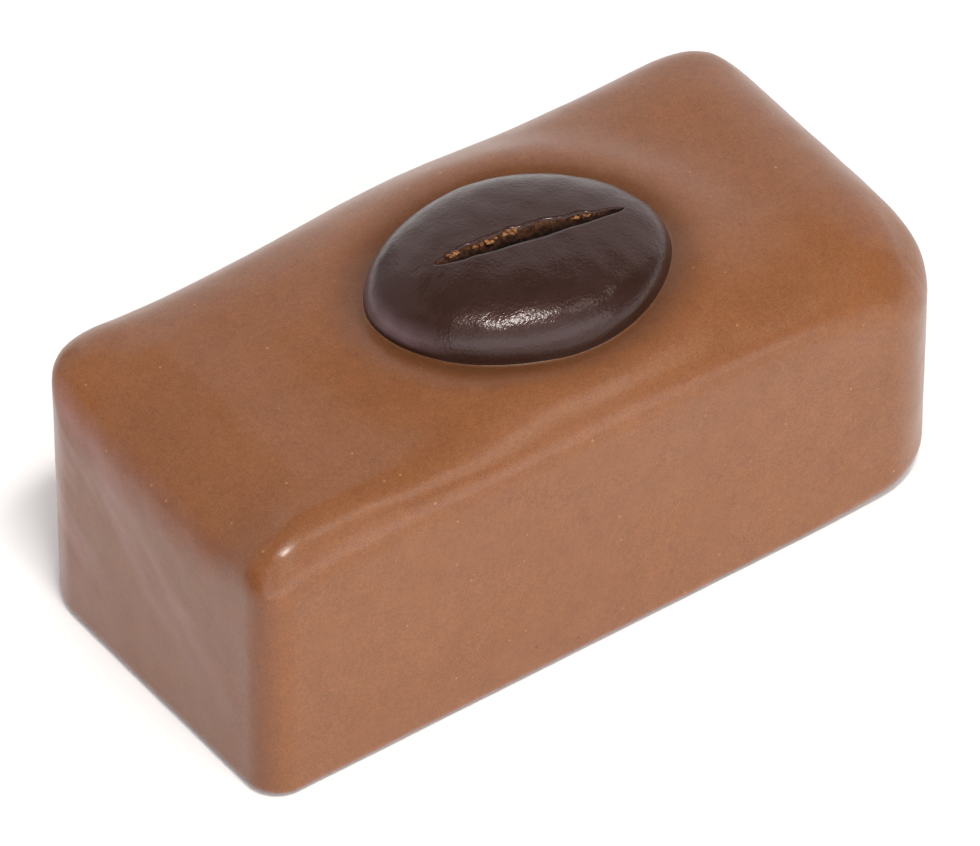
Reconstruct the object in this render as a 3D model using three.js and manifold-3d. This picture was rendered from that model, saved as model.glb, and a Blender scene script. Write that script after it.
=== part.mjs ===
// A coffee praline: a bar-shaped sweet enrobed in milk chocolate, with a moulded
// coffee bean of dark chocolate set into its top while the coating was soft.
// Millimetres, +Z up. X runs along the bar and the side at -Y is its front.
import * as THREE from 'three';
import { mergeVertices } from 'three/addons/utils/BufferGeometryUtils.js';
import Module from 'manifold-3d';

const wasm = await Module();
wasm.setup();

// The enrobed bar.
const BAR = { length: 36, width: 17.86, height: 13.66 };
// How far the rounding of each top edge reaches: inwards over the top, down the wall.
const TOP_ROUNDING = {
  frontLeft: { inwards: 2.6, down: 3.0 },
  frontRight: { inwards: 6.3, down: 2.4 },
  back: { inwards: 4.5, down: 2.9 },
  leftEnd: { inwards: 4.9, down: 4.1 },
  rightEnd: { inwards: 4.8, down: 3.5 },
};
// The same reach at each corner, and the radius of the upright corner seen from above,
// below the top's rounding and at the foot.
const CORNERS = {
  frontLeft: { inwards: 2.9, down: 2.6, shoulder: 2.0, foot: 1.5 },
  frontRight: { inwards: 4.6, down: 4.4, shoulder: 3.6, foot: 3.8 },
  backLeft: { inwards: 4.3, down: 1.8, shoulder: 3.5, foot: 3.7 },
  backRight: { inwards: 3.6, down: 2.7, shoulder: 4.2, foot: 3.8 },
};
const CORNER_HOLD = 3;        // how closely a corner's reach keeps to its corner
// Where the wall turns under to the flat base, most of all at the front right corner.
const FOOT_ROUNDING = { usual: 0.55, frontRight: 1.25 };
// The coating's walls swell a little between the corners, less at the foot.
const WALL_SWELL = { back: 0.13, leftEnd: 0.1, rightEnd: 0.14, atFoot: 0.3 };
// Beside the bean the pushed-out coating bulges the two long edges.
const BULGE = { front: 0.12, back: 0.44, reach: 5.8, from: 0.3 };
// The top leans, rising to the right end and to the back by these shares of its height.
const LEAN = { alongX: 0.004, alongY: 0.01 };

// The moulded bean, turned a little clockwise seen from above.
const BEAN = {
  x: 0.74, y: -0.71, heading: THREE.MathUtils.degToRad(-10),
  halfLength: 6.81, halfWidth: 5.26,
  pointedness: 1.85,          // 2 is an ellipse, less draws the ends out
  egg: -0.026,                // narrower at the +X end when positive
  base: 13.2, wall: 0.94, dome: 2.24,
  domeFlatness: 3.13, domeShoulder: 2.11,
};
// The split along the bean: a V cut with an upright near wall and a sloping far one.
const SPLIT = { centre: 0.5, halfLength: 4.35, halfWidth: 0.52, depth: 1.1, floor: 0.06, above: 0.6 };
// Round the bean the soft coating was pushed up into a low ring, highest to the back right.
const RING = {
  height: 0.6, out: 1.07, inside: 2.03, outside: 2.31,
  uneven: 0.42, highest: THREE.MathUtils.degToRad(40), onTopFrom: 0.8,
};

const CLEARANCE = 0.3;        // between the bean and its seat in the coating
const BAR_STEPS = { x: 42, y: 24, z: 12 };
const BEAN_STEPS = { x: 28, y: 22, z: 2 };
const SPLIT_STEPS = 16;
const GRID_EASE = 0.5;        // how far the grid crowds towards the edges, 0 to 1
const OUTLINE_POINTS = 72;

const milkChocolate = new THREE.MeshStandardMaterial({ color: 0xa06a4a, roughness: 0.45, metalness: 0 });
const darkChocolate = new THREE.MeshStandardMaterial({ color: 0x3f2a24, roughness: 0.35, metalness: 0 });

const { clamp, lerp } = THREE.MathUtils;
const soft = (t) => THREE.MathUtils.smoothstep(t, 0, 1);
const bell = (t) => Math.exp(-t * t);

// Crowds the lines of an even grid, -1 to 1, towards its two ends.
function crowd(t) {
  return lerp(t, Math.sin((t * Math.PI) / 2), GRID_EASE);
}

// Moves every point of a cube from -1 to 1 to where place() puts it, as a closed body.
function shapedCube(steps, place) {
  const geometry = new THREE.BoxGeometry(2, 2, 2, steps.x, steps.y, steps.z);
  const points = geometry.attributes.position;
  const point = new THREE.Vector3();
  for (let i = 0; i < points.count; i += 1) {
    point.fromBufferAttribute(points, i);
    point.set(crowd(point.x), crowd(point.y), crowd(point.z));
    place(point);
    points.setXYZ(i, point.x, point.y, point.z);
  }
  geometry.deleteAttribute('normal');
  geometry.deleteAttribute('uv');
  return mergeVertices(geometry);
}

// Blends one value of the four corners, by how far along (u) and back (v) a place is.
function betweenCorners(u, v, key) {
  const front = lerp(CORNERS.frontLeft[key], CORNERS.frontRight[key], u);
  const back = lerp(CORNERS.backLeft[key], CORNERS.backRight[key], u);
  return lerp(front, back, v);
}

// The reach of the top rounding on the long sides and on the ends at one place.
function edgeRounding(u, v, key) {
  const front = lerp(TOP_ROUNDING.frontLeft[key], TOP_ROUNDING.frontRight[key], u);
  return {
    side: lerp(front, TOP_ROUNDING.back[key], v),
    end: lerp(TOP_ROUNDING.leftEnd[key], TOP_ROUNDING.rightEnd[key], u),
  };
}

// Distance outside the bean's outline, measured from its middle.
function outsideBean(along, across) {
  const angle = Math.atan2(across, along) - BEAN.heading;
  return Math.hypot(along, across) - beanRadius(angle);
}

// How high the ring round the bean lifts the top at one place.
function ringHeight(x, y) {
  const along = x - BEAN.x;
  const across = y - BEAN.y;
  const out = Math.max(outsideBean(along, across), 0) - RING.out;
  const facing = Math.cos(Math.atan2(across, along) - RING.highest);
  return RING.height * (1 + RING.uneven * facing) * bell(out / (out < 0 ? RING.inside : RING.outside));
}

// Takes a cube's point to the bar's surface.
function placeOnBar(p) {
  const cube = p.clone();
  const half = { x: BAR.length / 2, y: BAR.width / 2 };
  const u = soft((cube.x + 1) / 2);
  const v = soft((cube.y + 1) / 2);
  const atCorner = (Math.abs(cube.x) * Math.abs(cube.y)) ** CORNER_HOLD;
  const x = Math.abs(cube.x) * half.x;
  const y = Math.abs(cube.y) * half.y;
  const z = ((cube.z + 1) / 2) * BAR.height;

  const downs = edgeRounding(u, v, 'down');
  const onEnd = cube.x ** 4 + 0.001;
  const onSide = cube.y ** 4 + 0.001;
  const edgeDown = (downs.end * onEnd + downs.side * onSide) / (onEnd + onSide);
  const down = lerp(edgeDown, betweenCorners(u, v, 'down'), atCorner);
  const pz = cube.z > 0 ? clamp((z - BAR.height + down) / down, 0, 1) : 0;

  const upright = soft((cube.z + 1) / 2);
  const wall = lerp(betweenCorners(u, v, 'foot'), betweenCorners(u, v, 'shoulder'), upright);
  const inwards = edgeRounding(u, v, 'inwards');
  const cornerIn = betweenCorners(u, v, 'inwards');
  const reachX = lerp(wall, lerp(inwards.end, cornerIn, atCorner), soft(pz));
  const reachY = lerp(wall, lerp(inwards.side, cornerIn, atCorner), soft(pz));
  const px = clamp((x - half.x + reachX) / reachX, 0, 1);
  const py = clamp((y - half.y + reachY) / reachY, 0, 1);

  // The cube's rim, edge and corner become the rim, edge and corner of a ball.
  const [xx, yy, zz] = [px * px, py * py, pz * pz];
  const nx = px * Math.sqrt(1 - yy / 2 - zz / 2 + (yy * zz) / 3);
  const ny = py * Math.sqrt(1 - xx / 2 - zz / 2 + (xx * zz) / 3);
  const nz = pz * Math.sqrt(1 - xx / 2 - yy / 2 + (xx * yy) / 3);
  const tuck = footTuck(cube, z);
  p.x = Math.sign(cube.x) * (x - reachX * (px - nx) - tuck * px);
  p.y = Math.sign(cube.y) * (y - reachY * (py - ny) - tuck * py);
  p.z = z - down * (pz - nz);

  swell(p, cube);
  const onTop = soft((p.z / BAR.height - RING.onTopFrom) / (1 - RING.onTopFrom));
  p.z += ringHeight(p.x, p.y) * onTop;
  p.z *= 1 + (LEAN.alongX * p.x) / half.x + (LEAN.alongY * p.y) / half.y;
}

// How far the wall has turned in at a height near the foot.
function footTuck(cube, z) {
  const frontRight = soft((cube.x - 0.5) / 0.5) * soft((0.6 - cube.y) / 1.2);
  const radius = lerp(FOOT_ROUNDING.usual, FOOT_ROUNDING.frontRight, frontRight);
  const under = clamp(1 - z / radius, 0, 1);
  return radius * (1 - Math.sqrt(1 - under * under));
}

// Bows the walls out between the corners and bulges the long edges beside the bean.
function swell(p, cube) {
  const high = clamp(p.z / BAR.height, 0, 1);
  const alongX = clamp(1 - (p.x / (BAR.length / 2)) ** 2, 0, 1);
  const alongY = clamp(1 - (p.y / (BAR.width / 2)) ** 2, 0, 1);
  const rise = lerp(WALL_SWELL.atFoot, 1, high);
  const beside = bell(p.x / BULGE.reach) * soft((high - BULGE.from) / (1 - BULGE.from));
  const front = BULGE.front * beside;
  const back = BULGE.back * beside + WALL_SWELL.back * alongX * rise;
  const end = WALL_SWELL[cube.x < 0 ? 'leftEnd' : 'rightEnd'];
  p.y += cube.y ** 3 * (cube.y < 0 ? front : back);
  p.x += cube.x ** 3 * end * alongY * rise;
}

// The bean's outline: its radius at an angle from its own long axis.
function beanRadius(angle, grow = 0) {
  const along = Math.abs(Math.cos(angle)) / (BEAN.halfLength + grow);
  const across = Math.abs(Math.sin(angle)) / (BEAN.halfWidth + grow);
  const n = BEAN.pointedness;
  const round = (along ** n + across ** n) ** (-1 / n);
  return round * (1 - BEAN.egg * Math.cos(angle) * Math.sin(angle) ** 2);
}

// Takes a cube's point to the bean's surface: a straight wall under a flattened dome.
function placeOnBean(p) {
  const u = p.x * Math.sqrt(1 - (p.y * p.y) / 2);
  const v = p.y * Math.sqrt(1 - (p.x * p.x) / 2);
  const out = Math.min(Math.hypot(u, v), 1);
  const angle = Math.atan2(v, u);
  const radius = out * beanRadius(angle);
  const edge = BEAN.base + (BEAN.wall * (p.z + 1)) / 2;
  const domed = p.z === 1 ? domeHeight(out) : 0;
  p.set(radius * Math.cos(angle), radius * Math.sin(angle), edge + domed);
}

// The dome's height above the wall at a share of the way out from the middle.
function domeHeight(out) {
  return BEAN.dome * (1 - out ** BEAN.domeFlatness) ** (1 / BEAN.domeShoulder);
}

// The cutter for the split, shallower and narrower towards both ends, open above the dome.
function splitCutter() {
  const top = BEAN.base + BEAN.wall + BEAN.dome + SPLIT.above;
  const slope = (2 * SPLIT.halfWidth) / SPLIT.depth;
  const steps = { x: SPLIT_STEPS, y: 1, z: 1 };
  const cutter = shapedCube(steps, (p) => {
    const taper = Math.sqrt(1 - p.x * p.x);
    const along = SPLIT.centre + p.x * SPLIT.halfLength;
    const surface = BEAN.base + BEAN.wall + domeHeight(Math.abs(along) / BEAN.halfLength);
    const low = surface - SPLIT.depth * taper;
    const z = p.z < 0 ? low : top;
    const near = -SPLIT.halfWidth * taper;
    const far = near + SPLIT.floor + (z - low) * slope;
    p.set(along, p.y < 0 ? near : far, z);
  });
  return cutter;
}

// The straight-walled seat that the bean sinks into, a little larger than the bean.
function seatCutter() {
  const outline = [];
  for (let i = 0; i < OUTLINE_POINTS; i += 1) {
    const angle = (i / OUTLINE_POINTS) * 2 * Math.PI;
    const radius = beanRadius(angle, CLEARANCE);
    outline.push(new THREE.Vector2(radius * Math.cos(angle), radius * Math.sin(angle)));
  }
  const depth = BEAN.wall + BEAN.dome + CLEARANCE;
  const seat = new THREE.ExtrudeGeometry(new THREE.Shape(outline), { depth, bevelEnabled: false });
  return seat.rotateZ(BEAN.heading).translate(BEAN.x, BEAN.y, BEAN.base - CLEARANCE);
}

// A closed mesh as a solid that can be cut.
function solidFrom(geometry) {
  const closed = geometry.clone();
  closed.deleteAttribute('normal');
  closed.deleteAttribute('uv');
  const merged = mergeVertices(closed);
  const vertProperties = new Float32Array(merged.attributes.position.array);
  const triVerts = new Uint32Array(merged.index.array);
  return new wasm.Manifold(new wasm.Mesh({ numProp: 3, vertProperties, triVerts }));
}

function geometryFrom(solid) {
  const mesh = solid.getMesh();
  const geometry = new THREE.BufferGeometry();
  geometry.setAttribute('position', new THREE.BufferAttribute(mesh.vertProperties, 3));
  geometry.setIndex(new THREE.BufferAttribute(mesh.triVerts, 1));
  geometry.computeVertexNormals();
  return geometry;
}

function cut(geometry, cutter) {
  return geometryFrom(solidFrom(geometry).subtract(solidFrom(cutter)));
}

function makeBlock() {
  const block = new THREE.Mesh(cut(shapedCube(BAR_STEPS, placeOnBar), seatCutter()), milkChocolate);
  block.name = 'milk_chocolate_block';
  return block;
}

function makeBean() {
  const bean = new THREE.Mesh(cut(shapedCube(BEAN_STEPS, placeOnBean), splitCutter()), darkChocolate);
  bean.name = 'dark_chocolate_bean';
  bean.position.set(BEAN.x, BEAN.y, 0);
  bean.rotation.z = BEAN.heading;
  return bean;
}

const praline = new THREE.Group();
praline.add(makeBlock(), makeBean());

// The origin is the middle of the base.
const extent = new THREE.Box3().setFromObject(praline);
const middle = extent.getCenter(new THREE.Vector3());
praline.position.set(-middle.x, -middle.y, -extent.min.z);

export default praline;
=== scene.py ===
"""A coffee praline: a bar enrobed in milk chocolate with a moulded dark chocolate bean on top."""
import math

import bpy
import numpy as np
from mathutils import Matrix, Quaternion, Vector


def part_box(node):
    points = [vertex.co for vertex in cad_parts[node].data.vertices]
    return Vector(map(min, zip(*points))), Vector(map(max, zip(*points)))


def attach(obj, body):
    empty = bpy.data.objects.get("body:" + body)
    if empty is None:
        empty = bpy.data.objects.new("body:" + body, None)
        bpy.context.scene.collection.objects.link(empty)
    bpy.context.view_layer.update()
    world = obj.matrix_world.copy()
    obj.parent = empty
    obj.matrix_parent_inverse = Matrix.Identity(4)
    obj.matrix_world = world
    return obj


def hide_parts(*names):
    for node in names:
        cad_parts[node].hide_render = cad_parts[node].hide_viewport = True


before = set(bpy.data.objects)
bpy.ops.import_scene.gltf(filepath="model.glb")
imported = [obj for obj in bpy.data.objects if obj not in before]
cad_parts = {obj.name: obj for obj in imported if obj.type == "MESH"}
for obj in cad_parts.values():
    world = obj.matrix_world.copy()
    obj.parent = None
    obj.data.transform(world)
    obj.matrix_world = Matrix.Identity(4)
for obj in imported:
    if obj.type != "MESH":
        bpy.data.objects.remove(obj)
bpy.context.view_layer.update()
MM = 0.001                    # the sizes below are real millimetres, the scene is in metres


# ---- The view -------------------------------------------------------------------------
# A long lens looks down on the praline from its front left corner, from over half a metre
# away, so that its edges run nearly parallel.
VIEW = {"azimuth": -35.96, "elevation": 42.65, "distance": 620.3, "lens": 538.6}
AIM = Vector((-0.205, -0.181, 5.628))      # the point in the middle of the picture

turn = math.radians(VIEW["azimuth"])
tilt = math.radians(VIEW["elevation"])
towards_camera = Vector((math.sin(turn) * math.cos(tilt), -math.cos(turn) * math.cos(tilt), math.sin(tilt)))
camera = bpy.data.objects.new("camera", bpy.data.cameras.new("camera"))
camera.data.sensor_width = 36
camera.data.lens = VIEW["lens"]
camera.data.clip_start = 0.05
camera.data.clip_end = 10
camera.location = (AIM + towards_camera * VIEW["distance"]) * MM
camera.rotation_euler = (-towards_camera).to_track_quat("-Z", "Y").to_euler()
bpy.context.scene.collection.objects.link(camera)
bpy.context.scene.camera = camera


# ---- The coated bar -------------------------------------------------------------------
# A filled bar run through a curtain of tempered milk chocolate, which rounds its edges and
# swells its walls a little. The soft coating was pushed up in a ring where the bean sank in.
BAR = {"length": 36.0, "width": 17.86, "height": 13.66}
# How far the rounding of each top edge reaches: inwards over the top, down the wall.
TOP_ROUNDING = {
    "front_left": (1.9, 1.9), "front_right": (6.3, 2.4), "back": (4.5, 2.9),
    "left_end": (4.9, 4.1), "right_end": (4.8, 3.5),
}
# The same reach at each corner, then the upright corner's radius at the shoulder and foot.
CORNERS = {
    "front_left": (2.6, 2.3, 1.5, 1.5), "front_right": (4.6, 4.4, 3.6, 3.8),
    "back_left": (4.3, 1.8, 3.5, 3.7), "back_right": (3.6, 2.7, 4.2, 3.8),
}
# How closely a corner's reach, an edge's rounding and a wall's swell keep to their place.
CORNER_HOLD, EDGE_HOLD, WALL_HOLD = 8, 12, 8
# The rounding of the foot, and where along and across the bar the wider one fades in.
FOOT_ROUNDING = {"usual": 0.55, "front_right": 1.25, "from_right": 0.5, "from_back": 0.6, "across": 1.2}
WALL_SWELL = {"back": 0.13, "left_end": 0.10, "right_end": 0.14, "at_foot": 0.3}
BULGE = {"front": 0.12, "back": 0.44, "reach": 5.8, "start": 0.3}
LEAN = {"along_x": 0.004, "along_y": 0.01}
# The bean's place and outline also shape the coating round it.
BEAN = {
    "x": 0.74, "y": -0.71, "heading": math.radians(-10), "half_length": 6.81, "half_width": 5.26,
    "pointedness": 1.85, "egg": -0.026, "base": 13.2, "wall": 0.94, "dome": 2.24,
    "flatness": 3.13, "shoulder": 2.11,
}
RING = {
    "height": 0.6, "out": 1.07, "inside": 2.03, "outside": 2.31,
    "uneven": 0.42, "highest": math.radians(40), "from_height": 0.8,
}
# The coating clings to the bean in a thin meniscus that climbs its side.
MENISCUS = {"height": 0.07, "reach": 0.07, "gap": 0.012}
SEAT_DEPTH = 0.25                          # the hollow under the bean, below its base
# Two sizes of ripple left by the coating as it ran down and set: wavelength and height.
# They fade out towards the flat base, over the lowest part of the walls.
RIPPLES = ((5.5, 0.010), (1.9, 0.004))
RIPPLE_FADE = 0.6
LOOP = {"along_x": 212, "along_y": 108}    # steps of a closed loop round the bar
TOP_LOOPS, WALL_LOOPS, BASE_LOOPS, SEAT_LOOPS = 54, 60, 10, 5


def soft(t):
    t = np.clip(t, 0, 1)
    return t * t * (3 - 2 * t)


def bell(t):
    return np.exp(-t * t)


def lerp(a, b, t):
    return a + (b - a) * t


def crowd(t, ease=0.6):
    """Crowds an even run of values, -1 to 1, towards its two ends."""
    return lerp(t, np.sin(t * np.pi / 2), ease)


def ripple(points, wavelength, seed):
    """A smooth uneven field of about unit height: many plane waves in random directions."""
    draw = np.random.default_rng(seed)
    field = np.zeros(points.shape[:-1])
    waves = 40
    for _ in range(waves):
        way = draw.normal(size=3)
        way *= 2 * np.pi / (wavelength * draw.uniform(0.75, 1.5) * np.linalg.norm(way))
        field += np.sin(points @ way + draw.uniform(0, 2 * np.pi))
    return field * math.sqrt(2 / waves)


def bean_radius(angle):
    """The bean's outline: its radius at an angle from its own long axis."""
    n = BEAN["pointedness"]
    along = np.abs(np.cos(angle)) / BEAN["half_length"]
    across = np.abs(np.sin(angle)) / BEAN["half_width"]
    round_ = (along ** n + across ** n) ** (-1 / n)
    return round_ * (1 - BEAN["egg"] * np.cos(angle) * np.sin(angle) ** 2)


def outside_bean(x, y):
    """Distance outside the bean's outline, measured from its middle, and the direction."""
    direction = np.arctan2(y - BEAN["y"], x - BEAN["x"])
    distance = np.hypot(x - BEAN["x"], y - BEAN["y"])
    return distance - bean_radius(direction - BEAN["heading"]), direction


def ring_height(x, y):
    """How high the pushed-up coating lifts the top round the bean."""
    outside, direction = outside_bean(x, y)
    out = np.maximum(outside, 0) - RING["out"]
    spread = np.where(out < 0, RING["inside"], RING["outside"])
    return RING["height"] * (1 + RING["uneven"] * np.cos(direction - RING["highest"])) * bell(out / spread)


def along_top(u, v, which):
    """The reach of a long top edge's rounding: 0 for inwards, 1 for down."""
    front = lerp(TOP_ROUNDING["front_left"][which], TOP_ROUNDING["front_right"][which], u)
    return lerp(front, TOP_ROUNDING["back"][which], v)


def between_corners(u, v, which):
    """One of the corners' four sizes, blended between the corners over the bar's plan."""
    front = lerp(CORNERS["front_left"][which], CORNERS["front_right"][which], u)
    back = lerp(CORNERS["back_left"][which], CORNERS["back_right"][which], u)
    return lerp(front, back, v)


def near_rim(c, hold):
    """Grows from 0 in the cube's middle to 1 at its rim, where it levels off."""
    return np.abs(np.sin(c * np.pi / 2)) ** hold


def bar_surface(cube):
    """Takes points of a cube from -1 to 1 to the bar's surface, in mm from its middle."""
    cx, cy, cz = cube[..., 0], cube[..., 1], cube[..., 2]
    half_x, half_y, height = BAR["length"] / 2, BAR["width"] / 2, BAR["height"]
    u, v = soft((cx + 1) / 2), soft((cy + 1) / 2)
    at_corner = near_rim(cx, CORNER_HOLD) * near_rim(cy, CORNER_HOLD)
    x, y, z = np.abs(cx) * half_x, np.abs(cy) * half_y, (cz + 1) / 2 * height

    side_in, side_down = along_top(u, v, 0), along_top(u, v, 1)
    end_in = lerp(TOP_ROUNDING["left_end"][0], TOP_ROUNDING["right_end"][0], u)
    end_down = lerp(TOP_ROUNDING["left_end"][1], TOP_ROUNDING["right_end"][1], u)
    on_end, on_side = near_rim(cx, EDGE_HOLD) + 0.001, near_rim(cy, EDGE_HOLD) + 0.001
    edge_down = (end_down * on_end + side_down * on_side) / (on_end + on_side)
    down = lerp(edge_down, between_corners(u, v, 1), at_corner)
    pz = np.where(cz > 0, np.clip((z - height + down) / down, 0, 1), 0)

    wall = lerp(between_corners(u, v, 3), between_corners(u, v, 2), soft((cz + 1) / 2))
    corner_in = between_corners(u, v, 0)
    reach_x = lerp(wall, lerp(end_in, corner_in, at_corner), soft(pz))
    reach_y = lerp(wall, lerp(side_in, corner_in, at_corner), soft(pz))
    px = np.clip((x - half_x + reach_x) / reach_x, 0, 1)
    py = np.clip((y - half_y + reach_y) / reach_y, 0, 1)

    # The cube's rim, edge and corner become the rim, edge and corner of a ball.
    xx, yy, zz = px * px, py * py, pz * pz
    nx = px * np.sqrt(1 - yy / 2 - zz / 2 + yy * zz / 3)
    ny = py * np.sqrt(1 - xx / 2 - zz / 2 + xx * zz / 3)
    nz = pz * np.sqrt(1 - xx / 2 - yy / 2 + xx * yy / 3)
    near_right = soft((cx - FOOT_ROUNDING["from_right"]) / (1 - FOOT_ROUNDING["from_right"]))
    near_front_right = near_right * soft((FOOT_ROUNDING["from_back"] - cy) / FOOT_ROUNDING["across"])
    foot = lerp(FOOT_ROUNDING["usual"], FOOT_ROUNDING["front_right"], near_front_right)
    under = np.clip(1 - z / foot, 0, 1)
    tuck = foot * (1 - np.sqrt(1 - under * under))
    x = np.sign(cx) * (x - reach_x * (px - nx) - tuck * px)
    y = np.sign(cy) * (y - reach_y * (py - ny) - tuck * py)
    z = z - down * (pz - nz)

    # The walls bow out between the corners, and the long edges bulge beside the bean.
    high = np.clip(z / height, 0, 1)
    along_x = np.clip(1 - (x / half_x) ** 2, 0, 1)
    along_y = np.clip(1 - (y / half_y) ** 2, 0, 1)
    rise = lerp(WALL_SWELL["at_foot"], 1, high)
    beside = bell(x / BULGE["reach"]) * soft((high - BULGE["start"]) / (1 - BULGE["start"]))
    back = BULGE["back"] * beside + WALL_SWELL["back"] * along_x * rise
    end = np.where(cx < 0, WALL_SWELL["left_end"], WALL_SWELL["right_end"])
    y = y + np.sign(cy) * near_rim(cy, WALL_HOLD) * np.where(cy < 0, BULGE["front"] * beside, back)
    x = x + np.sign(cx) * near_rim(cx, WALL_HOLD) * end * along_y * rise
    on_top = soft((z / height - RING["from_height"]) / (1 - RING["from_height"]))
    z = z + ring_height(x, y) * on_top
    z = z * (1 + LEAN["along_x"] * x / half_x + LEAN["along_y"] * y / half_y)
    return np.stack([x, y, z], -1)


def finished_bar(cube):
    """The bar's surface with its ripples and the meniscus at the bean."""
    point = bar_surface(cube)
    lift = 1 - soft((RIPPLE_FADE - point[..., 2]) / RIPPLE_FADE)
    out = point / np.array([BAR["length"], BAR["width"], BAR["height"]]) * 2 - np.array([0, 0, 1])
    out = out ** 5                         # points nearly straight out of each face
    out /= np.linalg.norm(out, axis=-1, keepdims=True) + 1e-9
    for seed, (wavelength, height) in enumerate(RIPPLES):
        point = point + out * (ripple(point, wavelength, seed) * height * lift)[..., None]
    outside, _ = outside_bean(point[..., 0], point[..., 1])
    on_top = point[..., 2] > BAR["height"] * 0.85
    climb = MENISCUS["height"] * np.exp(-np.maximum(outside, 0) / MENISCUS["reach"])
    point[..., 2] += np.where(on_top, climb, 0)
    return point


def loop_round(steps_x, steps_y):
    """The cube's rim seen from above, once round, from the front left corner."""
    x, y = crowd(np.linspace(-1, 1, steps_x + 1)), crowd(np.linspace(-1, 1, steps_y + 1))
    full_x, full_y = np.ones(steps_x), np.ones(steps_y)
    return np.concatenate([
        np.stack([x[:-1], -full_x], -1), np.stack([full_y, y[:-1]], -1),
        np.stack([x[:0:-1], full_x], -1), np.stack([-full_y, y[:0:-1]], -1),
    ])


def closed_body(name, loops, first_middle, last_middle, materials, in_material=None):
    """A closed mesh from equal loops, laid one after the other, with a fan at either end."""
    count = loops.shape[1]
    points = np.concatenate([loops.reshape(-1, 3), [first_middle], [last_middle]])
    here = np.arange(count)
    there = (here + 1) % count
    faces, kinds = [], []
    for k in range(len(loops) - 1):
        low, high = k * count, (k + 1) * count
        faces += np.stack([low + here, high + here, high + there, low + there], -1).tolist()
        kinds += [0 if in_material is None else in_material(k)] * count
    last = (len(loops) - 1) * count
    faces += np.stack([here, there, np.full(count, len(points) - 2)], -1).tolist()
    faces += np.stack([last + there, last + here, np.full(count, len(points) - 1)], -1).tolist()
    kinds += [0 if in_material is None else in_material(0)] * count + [0] * count
    mesh = bpy.data.meshes.new(name)
    mesh.from_pydata((points * MM).tolist(), [], faces)
    mesh.polygons.foreach_set("material_index", kinds)
    mesh.shade_smooth()
    for material in materials:
        mesh.materials.append(material)
    mesh.validate()
    piece = bpy.data.objects.new(name, mesh)
    bpy.context.scene.collection.objects.link(piece)
    return piece


rim = loop_round(LOOP["along_x"], LOOP["along_y"])
rim_places = bar_surface(np.column_stack([rim, np.ones(len(rim))]))
headings = np.arctan2(rim_places[:, 1] - BEAN["y"], rim_places[:, 0] - BEAN["x"])
mouth_radius = bean_radius(headings - BEAN["heading"]) + MENISCUS["gap"]
mouth_out = np.stack([mouth_radius * np.cos(headings), mouth_radius * np.sin(headings)], -1)
mouth = np.array([BEAN["x"], BEAN["y"]]) + mouth_out
# The places on the cube's top whose points land on the seat's mouth, by repeated correction.
inner = mouth / np.array([BAR["length"] / 2, BAR["width"] / 2])
for _ in range(40):
    landed = bar_surface(np.column_stack([inner, np.ones(len(inner))]))[:, :2]
    inner = inner + (mouth - landed) / np.array([BAR["length"] / 2, BAR["width"] / 2])

loops = []
for share in np.linspace(0, 1, TOP_LOOPS) ** 1.6:
    loops.append(np.column_stack([lerp(inner, rim, share), np.ones(len(rim))]))
for level in -crowd(np.linspace(-1, 1, WALL_LOOPS))[1:]:
    loops.append(np.column_stack([rim, np.full(len(rim), level)]))
for share in np.linspace(1, 0, BASE_LOOPS + 1)[1:-1] ** 1.3:
    loops.append(np.column_stack([rim * share, np.full(len(rim), -1)]))
skin = finished_bar(np.array(loops))

floor_level = BEAN["base"] - SEAT_DEPTH
seat = []
for share in np.linspace(0, 1, SEAT_LOOPS + 1)[1:]:
    flat = lerp(np.array([BEAN["x"], BEAN["y"]]), mouth, share)
    seat.append(np.column_stack([flat, np.full(len(rim), floor_level)]))
bar_loops = np.concatenate([np.array(seat), skin])
bar_low, bar_high = bar_loops.reshape(-1, 3).min(0), bar_loops.reshape(-1, 3).max(0)
cad_low, cad_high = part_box("milk_chocolate_block")
# From the bar's own middle to its place in the frame.
SHIFT = np.array([
    (cad_low.x + cad_high.x) / 2 / MM - (bar_low[0] + bar_high[0]) / 2,
    (cad_low.y + cad_high.y) / 2 / MM - (bar_low[1] + bar_high[1]) / 2,
    cad_low.z / MM - bar_low[2],
])


def colour(hex_value):
    """An sRGB hex value as linear red, green, blue and alpha."""
    parts = [int(hex_value[i:i + 2], 16) / 255 for i in (1, 3, 5)]
    return [c / 12.92 if c <= 0.04045 else ((c + 0.055) / 1.055) ** 2.4 for c in parts] + [1]


def add(tree, kind, inputs=None, **settings):
    """Adds a node with its settings. An input is a value, or the socket that feeds it."""
    node = tree.nodes.new(kind)
    for name, value in settings.items():
        setattr(node, name, value)
    for name, value in (inputs or {}).items():
        if isinstance(value, bpy.types.NodeSocket):
            tree.links.new(value, node.inputs[name])
        else:
            node.inputs[name].default_value = value
    return node


def new_material(name):
    material = bpy.data.materials.new(name)
    material.use_nodes = True
    material.node_tree.nodes.clear()
    return material, material.node_tree


# Milk chocolate set to a satin skin: sugar and milk grains mottle its brown, and here and
# there a pale or a dark grain shows. The thin fat skin over it gives the soft long sheens.
milk, tree = new_material("satin_enrobed_milk_chocolate")
place = add(tree, "ShaderNodeTexCoord").outputs["Object"]
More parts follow.
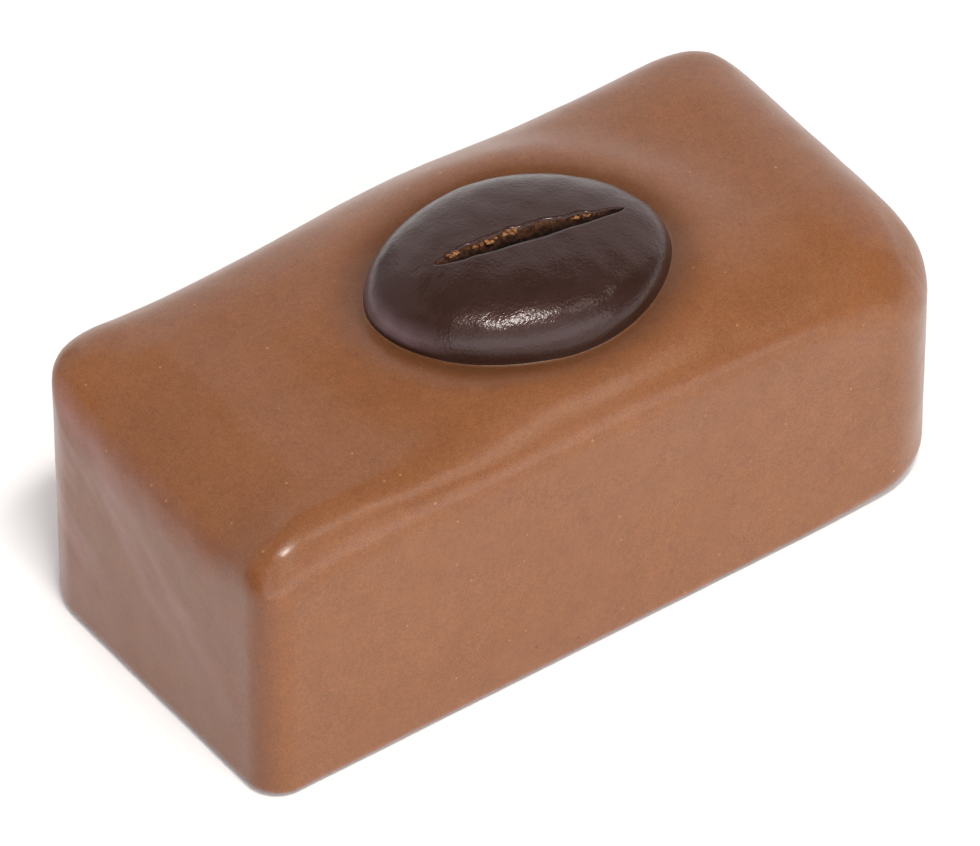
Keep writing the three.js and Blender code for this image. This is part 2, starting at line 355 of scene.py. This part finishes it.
# Grain sizes in mm, each with its share of the mottling.
MOTTLING = ((0.06, 2.0), (0.25, 0.6), (1.1, 0.45), (7.0, 0.4))
mottle = 0.5 - sum(share for _, share in MOTTLING) / 2
for size, share in MOTTLING:
    noise = add(tree, "ShaderNodeTexNoise", {"Vector": place, "Scale": 1 / (size * MM), "Detail": 2})
    mottle = add(tree, "ShaderNodeMath", {0: noise.outputs[0], 1: share, 2: mottle},
                 operation="MULTIPLY_ADD").outputs[0]
brown = add(tree, "ShaderNodeMix", {0: mottle, 6: colour("#6d3f1f"), 7: colour("#8a5731")}, data_type="RGBA")
brown = brown.outputs[2]

# Single grains that lie in the skin: cell size and radius in mm, the share of cells that
# hold one, how strongly it shows and its colour.
GRAINS = ((0.85, 0.075, 0.40, 0.45, "#b98a5c"), (2.6, 0.10, 0.5, 0.7, "#5a2413"))
for cell, radius, share, strength, hue in GRAINS:
    cells = add(tree, "ShaderNodeTexVoronoi", {"Vector": place, "Scale": 1 / (cell * MM)})
    spot = add(tree, "ShaderNodeMapRange", {
        "Value": cells.outputs["Distance"], "From Min": radius / cell, "From Max": radius / cell * 0.5,
        "To Max": strength,
    })
    chance = add(tree, "ShaderNodeSeparateColor", {0: cells.outputs["Color"]})
    chosen = add(tree, "ShaderNodeMath", {0: chance.outputs[0], 1: share}, operation="LESS_THAN")
    shows = add(tree, "ShaderNodeMath", {0: spot.outputs[0], 1: chosen.outputs[0]}, operation="MULTIPLY")
    brown = add(tree, "ShaderNodeMix", {0: shows.outputs[0], 6: brown, 7: colour(hue)}, data_type="RGBA")
    brown = brown.outputs[2]

# Painted shade: the coating close round the bean is darkened where the bean shades it. The
# painted shade fades from the bean's outline, which is at about 1, outwards, and only lies on
# the top, above a height in mm.
PAINTED_SHADE_ROUND_BEAN = {"from": 0.95, "to": 1.34, "strength": 0.66, "above": 11}
beside_bean = add(tree, "ShaderNodeMapping", {
    "Vector": place,
    "Location": [(BEAN["x"] + SHIFT[0]) * MM, (BEAN["y"] + SHIFT[1]) * MM, 0],
    "Rotation": [0, 0, BEAN["heading"]],
    "Scale": [BEAN["half_length"] * MM, BEAN["half_width"] * MM, 1000],
}, vector_type="TEXTURE")
from_bean = add(tree, "ShaderNodeVectorMath", {0: beside_bean.outputs[0]}, operation="LENGTH")
# The painted shade round the bean, strongest at its outline.
tint = add(tree, "ShaderNodeMapRange", {
    "Value": from_bean.outputs[1], "From Min": PAINTED_SHADE_ROUND_BEAN["from"], "From Max": PAINTED_SHADE_ROUND_BEAN["to"],
    "To Min": PAINTED_SHADE_ROUND_BEAN["strength"], "To Max": 0.0,
}, interpolation_type="SMOOTHSTEP")
above = add(tree, "ShaderNodeSeparateXYZ", {0: place})
on_top = add(tree, "ShaderNodeMath", {0: above.outputs[2], 1: PAINTED_SHADE_ROUND_BEAN["above"] * MM}, operation="GREATER_THAN")
tint = add(tree, "ShaderNodeMath", {0: tint.outputs[0], 1: on_top.outputs[0]}, operation="MULTIPLY")
brown = add(tree, "ShaderNodeMix", {0: tint.outputs[0], 6: brown, 7: colour("#4b2b18")}, data_type="RGBA")

# A whitish fat bloom and fine rub marks lie on the left end, in streaks that run down
# towards the front; the same streaks also carry a painted lilac sheen, the reflection of the
# pale table. They are strongest at the back and fade near the foot, where the painted
# reflection is of the table in the bar's shadow.
STREAK = {"angle": math.radians(36), "long": 9, "wide": 3.2, "thick": 30}
END_FACE = {"starts": -17.2, "full": -17.9, "front": -8, "back": 7.5, "foot": 1, "up": 6}
# Painted shade: the whole left end is darkened, as it gets less light than the front.
PAINTED_END_SHADE = 0.28                              # under the bloom the end is a shade darker
along_streak = add(tree, "ShaderNodeMapping", {
    "Vector": place, "Rotation": [STREAK["angle"], 0, 0],
    "Scale": [STREAK["thick"] * MM, STREAK["long"] * MM, STREAK["wide"] * MM],
}, vector_type="TEXTURE")
streaks = add(tree, "ShaderNodeTexNoise", {
    "Vector": along_streak.outputs[0], "Scale": 1, "Detail": 3, "Roughness": 0.55,
})
streaks = add(tree, "ShaderNodeMapRange", {
    "Value": streaks.outputs[0], "From Min": 0.42, "From Max": 0.64, "To Min": 0.0, "To Max": 0.24,
})
on_end = add(tree, "ShaderNodeMapRange", {
    "Value": above.outputs[0], "From Min": END_FACE["starts"] * MM, "From Max": END_FACE["full"] * MM,
})
to_back = add(tree, "ShaderNodeMapRange", {
    "Value": above.outputs[1], "From Min": END_FACE["front"] * MM, "From Max": END_FACE["back"] * MM,
    "To Min": 0.05, "To Max": 1.0,
})
bloom_and_sheen = add(tree, "ShaderNodeMath", {0: streaks.outputs[0], 1: on_end.outputs[0]}, operation="MULTIPLY")
bloom_and_sheen = add(tree, "ShaderNodeMath", {0: bloom_and_sheen.outputs[0], 1: to_back.outputs[0]}, operation="MULTIPLY")
# Painted shade within the sheen: it dims towards the foot.
higher = add(tree, "ShaderNodeMapRange", {
    "Value": above.outputs[2], "From Min": END_FACE["foot"] * MM, "From Max": END_FACE["up"] * MM,
    "To Min": 0.15, "To Max": 1.0,
})
bloom_and_sheen = add(tree, "ShaderNodeMath", {0: bloom_and_sheen.outputs[0], 1: higher.outputs[0]}, operation="MULTIPLY")
painted_end_shade = add(tree, "ShaderNodeMath", {0: on_end.outputs[0], 1: PAINTED_END_SHADE}, operation="MULTIPLY")
brown = add(tree, "ShaderNodeMix", {0: painted_end_shade.outputs[0], 6: brown.outputs[2], 7: colour("#4e2018")},
            data_type="RGBA")
skin_colour = add(tree, "ShaderNodeMix", {0: bloom_and_sheen.outputs[0], 6: brown.outputs[2], 7: colour("#c8a6ac")},
                  data_type="RGBA")

uneven = add(tree, "ShaderNodeTexNoise", {"Vector": place, "Scale": 1 / (1.6 * MM), "Detail": 2})
roughness = add(tree, "ShaderNodeMapRange", {"Value": uneven.outputs[0], "To Min": 0.36, "To Max": 0.5})
fine = add(tree, "ShaderNodeTexNoise", {"Vector": place, "Scale": 1 / (0.2 * MM), "Detail": 1})
lumps = add(tree, "ShaderNodeBump", {"Height": uneven.outputs[0], "Strength": 1.0, "Distance": 0.012 * MM})
bump = add(tree, "ShaderNodeBump", {
    "Height": fine.outputs[0], "Strength": 0.5, "Distance": 0.012 * MM, "Normal": lumps.outputs[0],
})
surface = add(tree, "ShaderNodeBsdfPrincipled", {
    "Base Color": skin_colour.outputs[2], "Roughness": roughness.outputs[0], "IOR": 1.42,
    "Specular IOR Level": 0.3, "Normal": bump.outputs[0],
    "Coat Weight": 0.48, "Coat Roughness": 0.2, "Coat IOR": 1.45, "Coat Normal": bump.outputs[0],
    "Subsurface Weight": 0.35, "Subsurface Radius": (1.0, 0.4, 0.2), "Subsurface Scale": 0.7 * MM,
})
add(tree, "ShaderNodeOutputMaterial", {"Surface": surface.outputs[0]})

bar = closed_body("milk_chocolate_bar", bar_loops + SHIFT, [BEAN["x"], BEAN["y"], floor_level] + SHIFT,
                  np.array([0, 0, 0]) + SHIFT, [milk])
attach(bar, "root")
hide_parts("milk_chocolate_block")


# ---- The coffee bean ------------------------------------------------------------------
# A bean of dark chocolate, cast in a mould and laid flat side down. The split along it was
# opened by hand, so its near side is upright and its far side is a rough slope.
SPLIT = {
    "centre": 0.55, "half_length": 4.4, "near": 0.57, "far": 0.50, "narrows": 0.8, "depth": 1.05,
    "ragged": 0.05, "broken": 0.07, "floor_near": 0.03, "floor_far": 0.12, "tip": 0.01,
}
# Two sizes of dent left by handling: wavelength and height.
DENTS = ((1.3, 0.008), (0.45, 0.0015))
BEAN_LOOP = 520
DOME_LOOPS, SPLIT_LOOPS, BEAN_WALL_LOOPS, BEAN_BASE_LOOPS = 80, 18, 8, 8


def dome(along, across):
    """The height of the bean's dome above its straight wall."""
    out = np.hypot(along, across) / bean_radius(np.arctan2(across, along))
    return BEAN["dome"] * (1 - np.minimum(out, 1) ** BEAN["flatness"]) ** (1 / BEAN["shoulder"])


round_ = np.linspace(0, 2 * np.pi, BEAN_LOOP, endpoint=False)
far_side = np.sin(round_) > 0
# The split's two lips, which all but meet at its ends: the last hundredth of its width and
# depth stays open, so that no face there is without area.
lip_along = SPLIT["centre"] + SPLIT["half_length"] * np.cos(round_)
taper = np.maximum(np.abs(np.sin(round_)), SPLIT["tip"])
near_lip = -SPLIT["near"] * taper * (1 + 0.15 * np.cos(round_))
far_lip = SPLIT["far"] * taper * (1 - SPLIT["narrows"] * soft(np.cos(round_) + 0.2))
lip_across = np.where(far_side, far_lip, near_lip)
lip_place = np.stack([lip_along, lip_across, np.zeros(BEAN_LOOP)], -1)
lip_across = lip_across + taper * ripple(lip_place, 0.7, 5) * SPLIT["ragged"] * np.where(far_side, 1, 0.25)
outline = bean_radius(round_)
outline_along, outline_across = outline * np.cos(round_), outline * np.sin(round_)
top = BEAN["base"] + BEAN["wall"]

loops = []
for share in np.linspace(0, 1, SPLIT_LOOPS, endpoint=False):
    # From the split's narrow floor, beside the near lip, up to both lips.
    floor_across = near_lip + np.where(far_side, SPLIT["floor_far"], SPLIT["floor_near"]) * taper
    across = lerp(floor_across, lip_across, share)
    deep = SPLIT["depth"] * taper * (1 - share) ** 0.8
    height = top + dome(lip_along, across) - deep
    wall_place = np.stack([lip_along, across, height], -1)
    midway = math.sin(math.pi * min(share, 0.95))
    broken = ripple(wall_place, 0.35, 6) * SPLIT["broken"] * taper * far_side * midway
    loops.append(np.stack([lip_along, across, height + broken], -1))
for share in 1 - (1 - np.linspace(0, 1, DOME_LOOPS)) ** 2.2:
    along, across = lerp(lip_along, outline_along, share), lerp(lip_across, outline_across, share)
    loops.append(np.stack([along, across, top + dome(along, across)], -1))
for level in np.linspace(1, 0, BEAN_WALL_LOOPS)[1:]:
    height = np.full(BEAN_LOOP, BEAN["base"] + BEAN["wall"] * level)
    loops.append(np.stack([outline_along, outline_across, height], -1))
for share in np.linspace(1, 0, BEAN_BASE_LOOPS + 1)[1:-1]:
    height = np.full(BEAN_LOOP, BEAN["base"])
    loops.append(np.stack([outline_along * share, outline_across * share, height], -1))
bean_loops = np.array(loops)
above_wall = soft((bean_loops[..., 2] - top) / 0.3)
for seed, (wavelength, height) in enumerate(DENTS):
    bean_loops[..., 2] += ripple(bean_loops, wavelength, seed + 10) * height * above_wall


def set_on_bar(points):
    """Turns points from the bean's own axes and sets them at its place on the bar."""
    c, s = math.cos(BEAN["heading"]), math.sin(BEAN["heading"])
    x = BEAN["x"] + points[..., 0] * c - points[..., 1] * s
    y = BEAN["y"] + points[..., 0] * s + points[..., 1] * c
    return np.stack([x, y, points[..., 2]], -1) + SHIFT


# Dark chocolate from a polished mould, dulled by a waxy film of cocoa butter. Its skin is
# finely wrinkled, so the one sharp highlight breaks up into bright grains. Low on the dome at
# the sides and the back, above the straight side, lies a greyer colour, partly dust and partly
# a painted sheen where the rim catches the light: heights and depth in mm.
RIM_DUST_AND_SHEEN = {"top": 15.4, "full": 14.5, "bottom": 14.1, "bottom_full": 14.35, "front": -4, "behind": -1}
dark, tree = new_material("waxy_moulded_dark_chocolate")
place = add(tree, "ShaderNodeTexCoord").outputs["Object"]
cloud = add(tree, "ShaderNodeTexNoise", {"Vector": place, "Scale": 1 / (1.8 * MM), "Detail": 2})
fine = add(tree, "ShaderNodeTexNoise", {"Vector": place, "Scale": 1 / (0.09 * MM), "Detail": 2})
film_and_sheen = add(tree, "ShaderNodeMath", {0: cloud.outputs[0], 1: fine.outputs[0]}, operation="MULTIPLY")
film_and_sheen = add(tree, "ShaderNodeMapRange", {
    "Value": film_and_sheen.outputs[0], "From Min": 0.12, "From Max": 0.42, "To Max": 0.05,
})
height_up = add(tree, "ShaderNodeSeparateXYZ", {0: place})
# Dust and painted sheen on the bean's rim, kept off its front.
rim_dust_and_sheen = add(tree, "ShaderNodeMapRange", {
    "Value": height_up.outputs[2], "From Min": RIM_DUST_AND_SHEEN["top"] * MM, "From Max": RIM_DUST_AND_SHEEN["full"] * MM,
    "To Min": 0.0, "To Max": 1.1,
}, interpolation_type="SMOOTHSTEP")
not_in_front = add(tree, "ShaderNodeMapRange", {
    "Value": height_up.outputs[1], "From Min": RIM_DUST_AND_SHEEN["front"] * MM, "From Max": RIM_DUST_AND_SHEEN["behind"] * MM,
}, interpolation_type="SMOOTHSTEP")
side_wall = add(tree, "ShaderNodeMapRange", {
    "Value": height_up.outputs[2], "From Min": RIM_DUST_AND_SHEEN["bottom"] * MM, "From Max": RIM_DUST_AND_SHEEN["bottom_full"] * MM,
})
for limit in (not_in_front, cloud, side_wall):
    rim_dust_and_sheen = add(tree, "ShaderNodeMath", {0: rim_dust_and_sheen.outputs[0], 1: limit.outputs[0]},
                   operation="MULTIPLY")
film_and_sheen = add(tree, "ShaderNodeMath", {0: film_and_sheen.outputs[0], 1: rim_dust_and_sheen.outputs[0]}, operation="ADD")
body = add(tree, "ShaderNodeMix", {0: film_and_sheen.outputs[0], 6: colour("#28150c"), 7: colour("#786266")},
           data_type="RGBA")
roughness = add(tree, "ShaderNodeMapRange", {"Value": cloud.outputs[0], "To Min": 0.26, "To Max": 0.42})
wrinkles = add(tree, "ShaderNodeTexNoise", {
    "Vector": place, "Scale": 1 / (0.15 * MM), "Detail": 2, "Roughness": 0.55,
})
bump = add(tree, "ShaderNodeBump", {"Height": wrinkles.outputs[0], "Strength": 1.0, "Distance": 0.018 * MM})
surface = add(tree, "ShaderNodeBsdfPrincipled", {
    "Base Color": body.outputs[2], "Roughness": roughness.outputs[0], "IOR": 1.4,
    "Specular IOR Level": 0.28, "Specular Tint": colour("#ffcfd0"), "Normal": bump.outputs[0],
    "Coat Weight": 0.45, "Coat Roughness": 0.1, "Coat IOR": 1.45, "Coat Normal": bump.outputs[0],
})
add(tree, "ShaderNodeOutputMaterial", {"Surface": surface.outputs[0]})

# The torn inside of the same chocolate: dull, crumbly and a little lighter than the skin.
torn, tree = new_material("torn_dark_chocolate")
place = add(tree, "ShaderNodeTexCoord").outputs["Object"]
crumbly = add(tree, "ShaderNodeTexNoise", {
    "Vector": place, "Scale": 1 / (0.22 * MM), "Detail": 4, "Roughness": 0.65,
})
patch = add(tree, "ShaderNodeMapRange", {"Value": crumbly.outputs[0], "From Min": 0.4, "From Max": 0.66})
body = add(tree, "ShaderNodeMix", {0: patch.outputs[0], 6: colour("#2b160d"), 7: colour("#583824")},
           data_type="RGBA")
# Painted shade: the bottom of the split, where little light reaches, is painted nearly black.
PAINTED_SPLIT_SHADE = {"from": 16.15, "full": 15.8}
height_up = add(tree, "ShaderNodeSeparateXYZ", {0: place})
# The painted shade, darkest at the bottom of the split.
deep = add(tree, "ShaderNodeMapRange", {
    "Value": height_up.outputs[2], "From Min": PAINTED_SPLIT_SHADE["from"] * MM, "From Max": PAINTED_SPLIT_SHADE["full"] * MM,
    "To Max": 0.98,
})
body = add(tree, "ShaderNodeMix", {0: deep.outputs[0], 6: body.outputs[2], 7: colour("#0d0604")},
           data_type="RGBA")
roughness = add(tree, "ShaderNodeMapRange", {"Value": crumbly.outputs[0], "To Min": 0.65, "To Max": 0.9})
bump = add(tree, "ShaderNodeBump", {"Height": crumbly.outputs[0], "Strength": 1.0, "Distance": 0.08 * MM})
surface = add(tree, "ShaderNodeBsdfPrincipled", {
    "Base Color": body.outputs[2], "Roughness": roughness.outputs[0], "IOR": 1.42,
    "Specular IOR Level": 0.15, "Normal": bump.outputs[0],
})
add(tree, "ShaderNodeOutputMaterial", {"Surface": surface.outputs[0]})

middle_of_split = np.array([SPLIT["centre"], -SPLIT["near"] + 0.06, bean_loops[0][:, 2].min()])
bean = closed_body("dark_chocolate_coffee_bean", set_on_bar(bean_loops), set_on_bar(middle_of_split),
                   set_on_bar(np.array([0, 0, BEAN["base"]])), [dark, torn],
                   lambda k: 1 if k < SPLIT_LOOPS - 1 else 0)
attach(bean, "root")
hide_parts("dark_chocolate_bean")


# ---- The crumbs in the split ------------------------------------------------------------
# Toasted crumbs of the filling that stuck to the bean when its split was opened. They lie
# along the top of the torn far side, most of them in the left half.
CRUMBS = (
    # along and across the bean, half length, half width, height: mm
    (-3.05, 0.28, 0.30, 0.10, 0.10), (-2.72, 0.30, 0.16, 0.09, 0.08), (-1.86, 0.24, 0.10, 0.07, 0.07),
    (-1.55, 0.26, 0.12, 0.08, 0.08), (-1.24, 0.22, 0.17, 0.11, 0.10), (-0.42, 0.44, 0.17, 0.12, 0.11),
    (-0.12, 0.47, 0.21, 0.15, 0.14), (0.12, 0.42, 0.12, 0.10, 0.10), (2.75, 0.08, 0.15, 0.08, 0.07),
    (3.25, 0.06, 0.20, 0.09, 0.08), (3.62, 0.06, 0.12, 0.07, 0.06), (-0.85, 0.34, 0.07, 0.06, 0.05),
)
CRUMB_RINGS, CRUMB_ROUND = 9, 16
CRUMBS_SUNK = 0.16                         # how far their middles lie under the dome, mm


def crumb_points(place, sizes, seed):
    """A small lumpy ball, as rings between two poles."""
    rise = np.linspace(-np.pi / 2, np.pi / 2, CRUMB_RINGS + 2)[1:-1]
    turn_ = np.linspace(0, 2 * np.pi, CRUMB_ROUND, endpoint=False)
    ring_x = np.outer(np.cos(rise), np.cos(turn_))
    ring_y = np.outer(np.cos(rise), np.sin(turn_))
    ring_z = np.outer(np.sin(rise), np.ones(CRUMB_ROUND))
    ball = np.concatenate([np.stack([ring_x, ring_y, ring_z], -1).reshape(-1, 3), [[0, 0, -1], [0, 0, 1]]])
    lumpy = ball * (1 + 0.28 * ripple(ball, 1.3, seed))[:, None]
    return place + lumpy * sizes


# Toasted filling, dry and grainy: a dull brown skin with paler bits where it broke.
crumb_material, tree = new_material("toasted_filling_crumb")
place = add(tree, "ShaderNodeTexCoord").outputs["Object"]
speckle = add(tree, "ShaderNodeTexNoise", {"Vector": place, "Scale": 1 / (0.16 * MM), "Detail": 3})
patch = add(tree, "ShaderNodeMapRange", {"Value": speckle.outputs[0], "From Min": 0.38, "From Max": 0.62})
body = add(tree, "ShaderNodeMix", {0: patch.outputs[0], 6: colour("#5c351c"), 7: colour("#a06b3a")},
           data_type="RGBA")
roughness = add(tree, "ShaderNodeMapRange", {"Value": speckle.outputs[0], "To Min": 0.55, "To Max": 0.85})
bump = add(tree, "ShaderNodeBump", {"Height": speckle.outputs[0], "Strength": 1.0, "Distance": 0.05 * MM})
surface = add(tree, "ShaderNodeBsdfPrincipled", {
    "Base Color": body.outputs[2], "Roughness": roughness.outputs[0], "IOR": 1.45, "Normal": bump.outputs[0],
})
add(tree, "ShaderNodeOutputMaterial", {"Surface": surface.outputs[0]})

points, faces = [], []
for number, (along, across, half_long, half_wide, half_high) in enumerate(CRUMBS):
    height = top + float(dome(np.array(along), np.array(across))) - CRUMBS_SUNK
    middle = np.array([along, across, height])
    one = crumb_points(middle, np.array([half_long, half_wide, half_high]), number)
    first = len(points)
    for low in range(CRUMB_RINGS - 1):
        for step in range(CRUMB_ROUND):
            a, b = first + low * CRUMB_ROUND + step, first + low * CRUMB_ROUND + (step + 1) % CRUMB_ROUND
            faces.append((a, b, b + CRUMB_ROUND, a + CRUMB_ROUND))
    bottom, tip = first + CRUMB_RINGS * CRUMB_ROUND, first + CRUMB_RINGS * CRUMB_ROUND + 1
    for step in range(CRUMB_ROUND):
        next_ = (step + 1) % CRUMB_ROUND
        faces.append((first + next_, first + step, bottom))
        faces.append((bottom - CRUMB_ROUND + step, bottom - CRUMB_ROUND + next_, tip))
    points += set_on_bar(one).tolist()
crumb_mesh = bpy.data.meshes.new("split_crumbs")
crumb_mesh.from_pydata((np.array(points) * MM).tolist(), [], faces)
crumb_mesh.shade_smooth()
crumb_mesh.materials.append(crumb_material)
crumbs = bpy.data.objects.new("split_crumbs", crumb_mesh)
bpy.context.scene.collection.objects.link(crumbs)
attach(crumbs, "root")


# ---- The studio -----------------------------------------------------------------------
# A white table with one soft light hung above the front, brighter towards its middle, and a
# small one high on the right. Pale walls stand in front and behind, and the ceiling and the
# right side stay dim, which keeps the colour of the chocolate deep between the sheens.

# Matt white paper, bright enough to go plain white under the lights.
paper, tree = new_material("white_table_paper")
surface = add(tree, "ShaderNodeBsdfPrincipled", {"Base Color": (0.96, 0.96, 0.96, 1), "Roughness": 0.9})
add(tree, "ShaderNodeOutputMaterial", {"Surface": surface.outputs[0]})
table_mesh = bpy.data.meshes.new("table")
reach = 3                                  # metres to each side, far past the picture
corners = [(-reach, -reach, 0), (reach, -reach, 0), (reach, reach, 0), (-reach, reach, 0)]
table_mesh.from_pydata(corners, [], [(0, 1, 2, 3)])
table_mesh.materials.append(paper)
table = bpy.data.objects.new("table", table_mesh)
bpy.context.scene.collection.objects.link(table)


def softbox(name, azimuth, elevation, distance, width, height, brightness, tint="#ffffff", turn=0):
    """A soft light or pale wall that faces the praline: its direction and its turn in degrees,
    its distance and sizes in metres and the brightness of its face, where 1 is white."""
    side, up = math.radians(azimuth), math.radians(elevation)
    towards = Vector((math.sin(side) * math.cos(up), -math.cos(side) * math.cos(up), math.sin(up)))
    light = bpy.data.lights.new(name, "AREA")
    light.shape = "RECTANGLE"
    light.size, light.size_y = width, height
    light.energy = brightness * math.pi * width * height
    light.color = colour(tint)[:3]
    box = bpy.data.objects.new(name, light)
    box.location = towards * distance
    facing = towards.to_track_quat("Z", "Y") @ Quaternion((0, 0, 1), math.radians(turn))
    box.rotation_euler = facing.to_euler()
    bpy.context.scene.collection.objects.link(box)


softbox("key_strip", -20, 70, 0.80, 0.54, 0.07, 3, "#fffcf7", turn=15)
softbox("key_core", -20, 68, 0.79, 0.36, 0.13, 11, "#fffcf7", turn=15)
softbox("key_heart", -19, 68, 0.78, 0.17, 0.08, 52, "#fffcf7", turn=15)
softbox("high_front", 43, 53, 0.90, 0.16, 0.26, 4.2, "#fffaf3")
softbox("back_wall", 130, 24, 0.80, 1.50, 0.92, 0.9, "#fff6f8")
softbox("back_left_wall", -150, 32, 0.85, 0.95, 1.1, 0.55, "#fff6f8")
softbox("front_wall", -14, 15, 0.85, 1.9, 0.44, 2.8, "#f8faff")
softbox("front_wall_top", -16, 37, 0.87, 1.6, 0.24, 1.5, "#f8faff")
softbox("front_ceiling", -18, 51, 0.90, 1.3, 0.20, 0.8, "#f8faff")

room = bpy.data.worlds.new("studio")
room.use_nodes = True
background = room.node_tree.nodes["Background"]
background.inputs["Color"].default_value = (1, 1, 1, 1)
background.inputs["Strength"].default_value = 0.16
bpy.context.scene.world = room
bpy.context.scene.view_settings.view_transform = "Standard"


bpy.context.view_layer.update()
